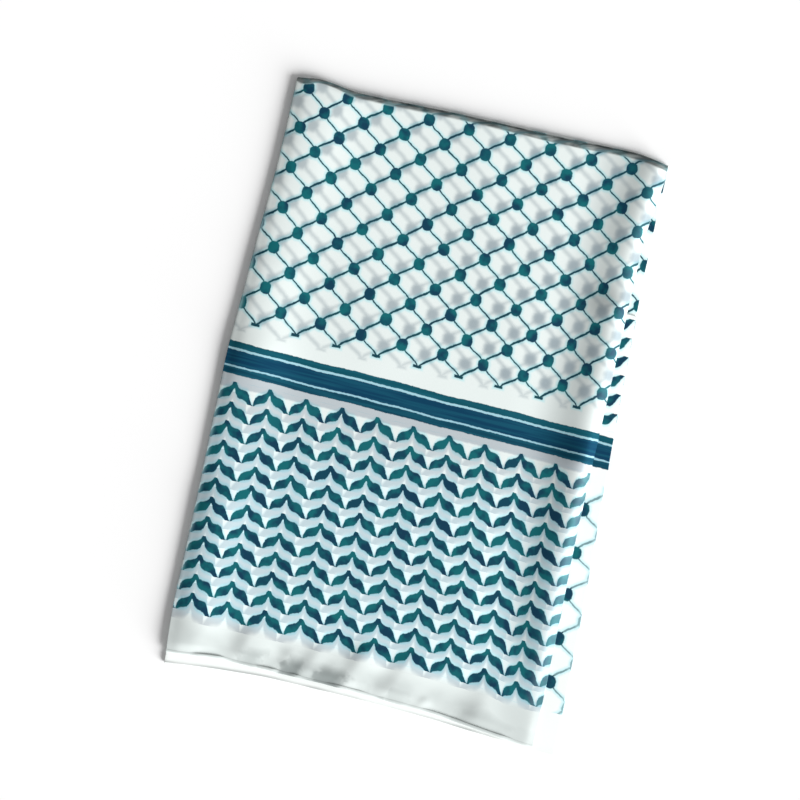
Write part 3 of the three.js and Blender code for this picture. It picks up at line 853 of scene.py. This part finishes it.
# Where the print starts on each stretch, in millimetres: a column and a row of dots, the net's last points
# and the side of them that it lies on, and a leaf pair's top point. Optional: how fine the lines are and how
# full the leaves, leafSign=-1 for leaves that point the other way, netStop where the net ends on its far
# side, paleFrom for the ink's fading at the selvedge, and paleLines for thinner ink on the net's lines.
# The top third's second row is the layer beneath it, which shows through.
topVoile = printedVoile(
    "printed voile",
    dict(netColumn=12.8, netRow=-59.2, netEnd=-21.3, netSign=1, leafColumn=3.0, leafTop=37.7),
    dict(
        netColumn=2.9, netRow=-65.3, netEnd=-26.9, netSign=1, leafColumn=-4.0, leafTop=35.0,
        fine=1.8, fuller=2.0,
    ),
)
tuckedVoile = printedVoile(
    "printed voile, tucked end",
    dict(
        netColumn=394.8, netRow=50.0, netEnd=50.0, netSign=-1, netStop=257.0, leafColumn=366.8, leafTop=5.85,
        leafSign=-1, fine=0.75, paleFrom=386.5, paleLines=0.38,
    ),
)
bottomVoile = printedVoile(  # all net
    "printed voile, middle of the cloth",
    dict(netColumn=375.4, netRow=1000.0, netEnd=5000.0, netSign=1, leafColumn=0.0, leafTop=5000.0),
)
innerVoile = plainVoile("unprinted side of the voile", voile["reverse"])
print("materials ready")


# Top third, with the fold over the far end.
topThird = dict(
    reach=0.0050,  # how far the cloth takes to turn over the top fold
    slant=0.0011,  # the fold starts this much further out on the right
    slantOver=(0.15, 0.21),
    hemCover=0.0008,  # the cloth runs this far under its end hem
    groove=0.0013,  # a groove along the top fold where the layers part
    grooveFrom=0.103,  # across
    grooveStart=0.012,  # it deepens over this much on either side of there
    grooveTurn=1.05,  # radians round the fold
    ridgeTurn=1.45,  # and a low ridge beyond it
    squeeze=1.8,  # the print closes up where the fold draws the cloth round
    squeezeOver=0.006,
    skew=0.006,  # and slides to the right
    leftTurn=0.0006,  # radius of the turn at the left fold
    rimInside=0.0020,  # the painted shade of the top fold's far side starts this far before it
    rimLeft=0.0026,  # and further near the left corner
    rimMore=0.0018,  # and to the right of the middle, but for the right corner
    sideTone=0.0045,  # the painted shade of the left fold reaches this far in
    edgePale=0.020,  # and the paler ink of the painted highlight on the right edge this far
    columns=142,
)


def byLength(lengths, like):
    # print places that change across only, by a length from the fold line
    back = np.zeros(like.shape[:1] + (len(lengths), 2))
    back[..., 0] = lengths
    return like[:, :1] - back


def foldedLeft(face, flat, radius, tuckTo, steps=9):
    # Carries a grid of places and its print round a half turn at its left edge and on beneath itself.
    start = face[:, :1]
    slope = np.gradient(start[:, 0], axis=0)
    out = np.stack([np.zeros(len(slope)), -slope[:, 2], slope[:, 1]], axis=-1)
    out = (out / np.linalg.norm(out, axis=-1, keepdims=True))[:, None]
    turn = np.linspace(math.pi, 0, steps + 1)[:-1]
    tuck = np.linspace(tuckTo, 0, 6)[:-1]
    rightward = np.array([1.0, 0.0, 0.0])
    curl = start - rightward * (radius * np.sin(turn))[None, :, None]
    curl = curl - out * (radius * (1 - np.cos(turn)))[None, :, None]
    below = curl[:, :1] + rightward * tuck[None, :, None]
    points = np.concatenate([below, curl, face], axis=1)
    length = np.concatenate([radius * math.pi + tuck, radius * turn])
    return points, np.concatenate([byLength(length, flat), flat], axis=1)


def foldStart(across):
    # how far beyond the fold's mean line the cloth starts to turn
    slant = topThird["slant"] * smooth(across, *topThird["slantOver"])
    return endAt("rise", across) - topThird["reach"] - slant


def topSurface(across, run):
    # run goes 0 to 1 from the end hem to the fold, 1 to 2 around it and 2 to 3 along the underside
    back = foldStart(across)
    hemLine = endAt("hem", across) - topThird["hemCover"]
    down = hemLine - (back + hemLine) * np.clip(run, 0, 1)
    height = faceHeight(across, np.maximum(down, 0))
    turn = math.pi * np.clip(run - 1, 0, 1)
    half = faceHeight(across, np.zeros_like(across)) / 2
    place, spread = topThird["grooveFrom"], topThird["grooveStart"]
    split = smooth(across, place - spread, place + spread)
    dent = np.exp(-(((turn - topThird["grooveTurn"]) / 0.16) ** 2))
    dent = dent - 0.3 * np.exp(-(((turn - topThird["ridgeTurn"]) / 0.3) ** 2))
    reach = 1 - topThird["groove"] / topThird["reach"] * dent * split
    down = np.where(run > 1, -back - topThird["reach"] * np.sin(turn) * reach, down)
    height = np.where(run > 1, half + half * np.cos(turn) * reach, height)
    down = down + (flatFrom - 0.0002 + back) * np.clip(run - 2, 0, 1)
    return toFrame(across, down, height), down


def buildTopThird():
    # rows lie closer near the end hem, for its puckers
    nearHem = np.linspace(0, 0.055, 27)
    body = np.linspace(0.055, 1, 182)[1:]
    around = 1 + np.linspace(0, 1, 25)[1:]
    under = 2 + np.linspace(0, 1, 5)[1:]
    run = np.concatenate([nearHem, body, around, under])[:, None]
    share = np.linspace(0, 1, topThird["columns"])[None, :]
    nominal = np.interp(run, [0, 1], [0.578, 0.0])
    left = sideAt("left", nominal) + inset * smooth(run, 1.3, 1.9)
    right = sideAt("top", nominal)
    across = left + topThird["leftTurn"] + (right - left - topThird["leftTurn"]) * share
    run = run + 0 * share
    face, down = topSurface(across, run)

    # The print runs on over the top fold, closed up where the fold draws the cloth round.
    length = np.cumsum(np.linalg.norm(np.diff(face, axis=0, prepend=face[:1]), axis=-1), axis=0)
    crest = np.array([np.interp(1, run[:, j], length[:, j]) for j in range(face.shape[1])])
    past = np.maximum(length - crest, 0)
    # where the painted shade of the fold's far side starts, before the crest
    first = across[:1]
    inside = topThird["rimInside"] * (0.25 + 0.75 * smooth(first, 0.045, 0.075))
    inside = inside + topThird["rimLeft"] * np.exp(-(((first - 0.020) / 0.008) ** 2))
    more = smooth(first, 0.20, 0.27) * (1 - 0.9 * smooth(first, 0.295, 0.330))
    inside = inside + topThird["rimMore"] * more
    rim = np.maximum(length - crest + inside, 0) * (run > 0.9)
    over = topThird["squeezeOver"]
    closed = np.minimum(past, over) * topThird["squeeze"] + np.maximum(past - over, 0)
    start = foldStart(across)
    flat = topPrint(across - topThird["skew"] * smooth(closed, 0, over), np.maximum(down, -start))
    flat[..., 1] = np.where(run > 1, topPrint(across, -start)[..., 1] - closed, flat[..., 1])
    points, printed = foldedLeft(face, flat, topThird["leftTurn"], underTuck)
    # over nought for the painted shade beside the left fold, and under it where a painted highlight makes the
    # right edge's ink paler
    near = np.clip(1 - (across - left) / topThird["sideTone"], 0, 1)
    near = near * (0.65 - 0.5 * smooth(down, 0.50, 0.56))
    pale = smooth(across - right, -topThird["edgePale"], -0.004)
    near = near - pale * (0.25 + 0.75 * smooth(down, 0.22, 0.30))
    folds = np.stack([rim, near], axis=-1)
    folds = foldedLeft(face, folds, topThird["leftTurn"], underTuck)[1]
    folds[:, : -face.shape[1], 0] = folds[:, -face.shape[1] :][:, :1, 0]
    piece = addCloth("top_third_cloth", points, printed, topVoile, folds=folds)
    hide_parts("top_third", "top_fold")
    return piece, points, printed


topCloth, topPoints, topFlat = buildTopThird()
print("top third done")


# Bottom third: both its layers and the left fold between them.
bottomThird = dict(
    startUpper=0.0025,  # its upper layer starts this far down
    foldRoom=0.0035,  # and ends this far before the near fold
    foldFrom=0.012,  # across, the part of the near fold that it follows
    foldWidth=0.365,
    ripple=0.0002,
    columns=70,
    rows=96,
)


def buildBottomThird():
    share = np.linspace(0, 1, bottomThird["rows"])[:, None]
    level = 2 * turnRadius
    upper = np.linspace(0, 1, bottomThird["columns"])
    lower = upper[::-1]
    turn = np.linspace(math.pi, 0, 11)[1:-1]
    # where along the sheet each column lies: 0 on the underside, 1 on the upper layer
    lift = np.concatenate([0 * lower, 0.5 - 0.5 * np.cos(math.pi - turn), 0 * upper + 1])[None, :]
    start = flatFrom + 0.0001 + (bottomThird["startUpper"] - flatFrom) * lift
    spread = np.concatenate([lower, 0 * turn, upper])[None, :]
    end = endAt("fold", bottomThird["foldFrom"] + bottomThird["foldWidth"] * spread)
    end = end - bottomThird["foldRoom"]
    end = flatTo - 0.0001 + (end - flatTo) * lift
    down = end + (start - end) * share
    left = sideAt("left", down) + inset + turnRadius
    right = sideAt("lowest", down)
    width = right - left
    across = left + width * spread - turnRadius * np.concatenate([0 * lower, np.sin(turn), 0 * upper])
    rise = turnRadius * (1 - np.cos(math.pi - turn))
    height = np.concatenate([0 * lower, rise, 0 * upper + level])[None, :]
    # the selvedges' own slack shows where the upper layer passes the ones above it
    ripple = bottomThird["ripple"] * np.sin(down / 0.031) * smooth(across - right, -0.03, 0)
    ripple = ripple * (height > 0.0022)
    points = toFrame(across, down, height + ripple)
    aside = np.where(lift > 0.999, across, 2 * left - across - math.pi * turnRadius)
    around = left - turnRadius * np.concatenate([0 * lower, turn, 0 * upper])
    middle = slice(len(lower), -len(upper))
    aside[:, middle] = around[:, middle]
    piece = addCloth("bottom_third_cloth", points, bottomPrint(aside, down), bottomVoile)
    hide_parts("bottom_third")
    return piece, points, bottomPrint(aside, down)


bottomCloth, bottomPoints, bottomFlat = buildBottomThird()
print("bottom third done")


# Tucked third, with the fold over the near end.
tuckedThird = dict(
    level=0.0036,  # the height of its face over the floor
    ripple=0.00025,  # along its selvedge
    endWave=0.0016,  # its turned-back end isn't quite straight
    endRadius=0.0005,
    leftTurn=0.0005,
    lineIn=0.0016,  # a line of painted shade runs this far before the fold
    lineWidth=0.0017,
    lineTone=0.56,
    lineStops=(0.335, 0.362),
    columns=120,
)


def buildTuckedThird():
    level, radius = tuckedThird["level"], tuckedThird["level"] / 2
    # run goes 0 to 1 along the underside, 1 to 2 round the fold, 2 to 3 up the face and 3 to 4 over the
    # turned-back end
    steps = [k + np.linspace(0, 1, count)[1:] for k, count in enumerate((6, 45, 150, 12))]
    run = np.concatenate([[0]] + steps)[:, None]
    share = np.linspace(0, 1, tuckedThird["columns"])[None, :]
    nominal = np.interp(run, [0, 1, 2, 3], [flatTo, 0.585, 0.585, tuckedEnd])
    inner = inset * (1 - 0.9 * smooth(nominal, 0.545, 0.582))
    left = sideAt("left", nominal) + inner + tuckedThird["leftTurn"]
    right = sideAt("tucked", nominal)
    across = left + (right - left) * share
    run = run + 0 * share
    back = endAt("fold", across) - radius
    end = tuckedEnd + tuckedThird["endWave"] * np.sin(across / 0.047)
    turn = math.pi * np.clip(run - 1, 0, 1)
    small = tuckedThird["endRadius"]
    over = math.pi / 2 * np.clip((run - 3) / 0.5, 0, 2)
    down = flatTo + 0.0001 + (back - flatTo) * np.clip(run, 0, 1)
    down = down + radius * np.sin(turn)
    down = down + (end + small - back) * np.clip(run - 2, 0, 1)
    down = down - small * np.sin(over)
    height = radius * (1 - np.cos(turn)) - small * (1 - np.cos(over))
    edge = smooth(across - right, -0.03, 0) * (run > 2) * (run < 3)
    height = height + tuckedThird["ripple"] * np.sin(down / 0.027 + 1) * edge
    face = toFrame(across, down, height)
    fold = endAt("fold", across)
    flat = tuckedPrint(across, np.where(run < 1.5, 2 * fold - down, down))
    points, printed = foldedLeft(face, flat, tuckedThird["leftTurn"], underTuck)
    # the painted shade line before the fold, on the face alone and stronger in places
    inward = (fold - down - tuckedThird["lineIn"]) / tuckedThird["lineWidth"]
    near = tuckedThird["lineTone"] * np.exp(-(inward**2)) * (run > 1.5) * (run < 2.9)
    near = near * (0.86 + 0.14 * np.sin(across / 0.011 + 2 * np.sin(across / 0.027)))
    near = near * (1.1 - 0.6 * np.exp(-(((across - 0.225) / 0.035) ** 2)))
    near = near * (1 - smooth(across, *tuckedThird["lineStops"]))
    folds = foldedLeft(face, np.stack([0 * near, near], axis=-1), tuckedThird["leftTurn"], underTuck)[1]
    folds[..., 0] = 0  # no far side here
    piece = addCloth("tucked_third_cloth", points, printed, tuckedVoile, folds=folds)
    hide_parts("middle_third", "bottom_fold")
    return piece, points, printed, run[:, 0]


tuckedCloth, tuckedPoints, tuckedFlat, tuckedRun = buildTuckedThird()
print("tucked third done")


# Inner layers: the folded plies between, as one soft body.
innerLayers = dict(
    gap=0.0003,  # under the top third
    left=0.0105,  # in from the top third's edges
    right=0.062,
    start=0.008,
    end=0.5655,
    overTucked=0.0039,  # its underside rises to this where it passes onto the tucked third
    onTo=(0.136, 0.144),
    thinnest=0.0004,
    nose=0.003,  # the sides round off over this
    endStep=0.012,  # and the plies' ends step back over this
    columns=70,
    rows=150,
)


def buildInnerLayers():
    share = np.linspace(0, 1, innerLayers["rows"])
    count = innerLayers["columns"]
    rings = []
    for s in share:
        down = innerLayers["start"] + (innerLayers["end"] - innerLayers["start"]) * (1 - s)
        left = float(sideAt("left", down)) + innerLayers["left"]
        right = float(sideAt("top", down)) - innerLayers["right"]
        step = float(smooth(down, *innerLayers["onTo"]))
        floor = middleLevel + (innerLayers["overTucked"] - middleLevel) * step + 0.00005
        x = np.linspace(left, right, count)
        top = faceHeight(x, np.full(count, down)) - clothThickness - innerLayers["gap"]
        top = np.maximum(top, floor + innerLayers["thinnest"])
        ends = np.clip(np.minimum(s, 1 - s) / innerLayers["endStep"], 0, 1) ** 0.5
        top = floor + (top - floor) * (0.45 + 0.55 * ends)
        half = (top - floor) / 2
        nose = np.minimum(x - left, right - x)
        bulge = np.sqrt(np.clip(1 - (1 - np.clip(nose / innerLayers["nose"], 0, 1)) ** 2, 0, 1))
        bulge = np.maximum(bulge, 0.04)
        upper = np.stack([x, np.full(count, down), floor + half * (1 + bulge)], axis=-1)
        lower = np.stack([x, np.full(count, down), floor + half * (1 - bulge)], axis=-1)
        rings.append(np.concatenate([lower, upper[::-1]]))
    rings = np.array(rings)
    rings = toFrame(rings[..., 0], rings[..., 1], rings[..., 2])
    piece = addTube("inner_layers", rings, rings[..., :2], innerVoile)
    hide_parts("hidden_layers")
    return piece


innerCloth = buildInnerLayers()
print("inner layers done")


# Hems: narrow, rolled and stitched. Size is the width and thickness of each.
hems = dict(
    top=dict(size=(hemWidth, 0.0010), near=-1.0),  # in the paler ink of the painted highlight on the top third's edge
    end=dict(size=(hemWidth, hemHeight), proud=0.00015, gapes=0.35),  # it lifts a little with its gaps
    tucked=dict(size=(hemWidth, 0.0008)),
    bottom=dict(size=(hemWidth, 0.0008)),
    under=dict(size=(hemWidth, 0.0010)),
)
flush = -0.00003  # the side hems are pressed flush with the cloth


def edgeOf(points, printed, row=None, column=None, rows=slice(None)):
    # places, outward directions, normals and print along one edge of a grid
    normal = normalsOf(points)
    if column is not None:
        at, inner = points[rows, column], points[rows, column - 1 if column else 1]
        normal, flat = normal[rows, column], printed[rows, column]
    else:
        at, inner = points[row], points[row + 1 if row == 0 else row - 1]
        normal, flat = normal[row], printed[row]
    out = at - inner
    out = out - normal * np.sum(out * normal, axis=-1, keepdims=True)
    return at, out / np.linalg.norm(out, axis=-1, keepdims=True), normal, flat


def addNamedHem(name, node, kind, edge, printStep, material, seed):
    at, out, normal, flat = edge
    hem = hems[kind]
    if "gapes" in hem:
        lift = hem["gapes"] * soft(hemGap, "across", "gap", at[:, 0] - cornerX, 0.002)
        at = at + normal * lift[:, None]
    proud = hem.get("proud", flush)
    piece = addHem(name, at, out, normal, hem["size"], flat, printStep, material, proud, seed)
    if "near" in hem:
        layer = piece.data.uv_layers.new(name="folds")
        layer.data.foreach_set("uv", np.tile([0.0, hem["near"]], len(piece.data.loops)))
    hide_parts(node)
    return piece


topEdge = edgeOf(topPoints, topFlat, column=topPoints.shape[1] - 1)
endEdge = edgeOf(topPoints, topFlat, row=0)
tuckedRows = np.flatnonzero(tuckedRun <= 3.0)
tuckedEdge = edgeOf(tuckedPoints, tuckedFlat, column=tuckedPoints.shape[1] - 1, rows=tuckedRows)
bottomEdge = edgeOf(bottomPoints, bottomFlat, column=bottomPoints.shape[1] - 1)
underEdge = edgeOf(bottomPoints, bottomFlat, column=0)
topHems = [
    addNamedHem("top_side_hem_roll", "top_side_hem", "top", topEdge, (1, 0), topVoile, 3),
    addNamedHem("end_hem_roll", "end_hem", "end", endEdge, (0, 1), topVoile, 4),
]
tuckedHems = [
    addNamedHem("tucked_side_hem_roll", "middle_side_hem", "tucked", tuckedEdge, (1, 0), tuckedVoile, 5),
]
bottomHems = [
    addNamedHem("bottom_side_hem_roll", "bottom_side_hem", "bottom", bottomEdge, (1, 0), bottomVoile, 6),
    addNamedHem("underside_hem_roll", "underside_side_hem", "under", underEdge, (-1, 0), bottomVoile, 7),
]
print("hems done")


# Floor, light and camera.
studio = dict(  # metres and degrees
    floorSize=3.0,
    floorDrop=0.0002,  # just under the cloth
    floorColour="#F9F9F9",
    keyStrength=6.75,
    keyTurn=-42.0,  # anticlockwise from the camera's right
    keyHeight=20.0,  # over the floor
    keyWidth=38.0,  # a wide lamp, so its shadows fade out
    world=0.33,
    lens=100.0,
    distance=2.19,
    aim=(-0.0268, 0.0073),
    tilt=13.9,  # the camera looks straight down, turned this much about its own axis
)

floorMesh = bpy.data.meshes.new("floor")
edge = studio["floorSize"] / 2
floorCorners = [(-edge, -edge), (edge, -edge), (edge, edge), (-edge, edge)]
floorCorners = [(x, y, -studio["floorDrop"]) for x, y in floorCorners]
floorMesh.from_pydata(floorCorners, [], [(0, 1, 2, 3)])
floor = bpy.data.objects.new("floor", floorMesh)
bpy.context.scene.collection.objects.link(floor)
floor.data.materials.append(plainVoile("matt paper floor", studio["floorColour"]))
floor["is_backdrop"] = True

turn = math.radians(studio["keyTurn"] + studio["tilt"])
rise = math.radians(studio["keyHeight"])
towards = Vector((math.cos(rise) * math.cos(turn), math.cos(rise) * math.sin(turn), math.sin(rise)))
key = bpy.data.objects.new("key light", bpy.data.lights.new("key light", "SUN"))
key.data.energy = studio["keyStrength"]
key.data.angle = math.radians(studio["keyWidth"])
key.rotation_euler = towards.to_track_quat("Z", "Y").to_euler()
key.location = towards * 2
bpy.context.scene.collection.objects.link(key)

world = bpy.data.worlds.new("soft white studio")
world.use_nodes = True
world.node_tree.nodes["Background"].inputs["Color"].default_value = (1, 1, 1, 1)
world.node_tree.nodes["Background"].inputs["Strength"].default_value = studio["world"]
bpy.context.scene.world = world

camera = bpy.data.objects.new("camera", bpy.data.cameras.new("camera"))
camera.data.lens = studio["lens"]
camera.data.sensor_width = 36
camera.location = (*studio["aim"], studio["distance"])
camera.rotation_euler = (0, 0, math.radians(studio["tilt"]))
bpy.context.scene.collection.objects.link(camera)
bpy.context.scene.camera = camera
bpy.context.scene.view_settings.view_transform = "Standard"

low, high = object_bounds()
for kind, start, end in (("cad", cadLow, cadHigh), ("dressed", low, high)):
    print(kind, "size", [round(b - a, 4) for a, b in zip(start, end)])
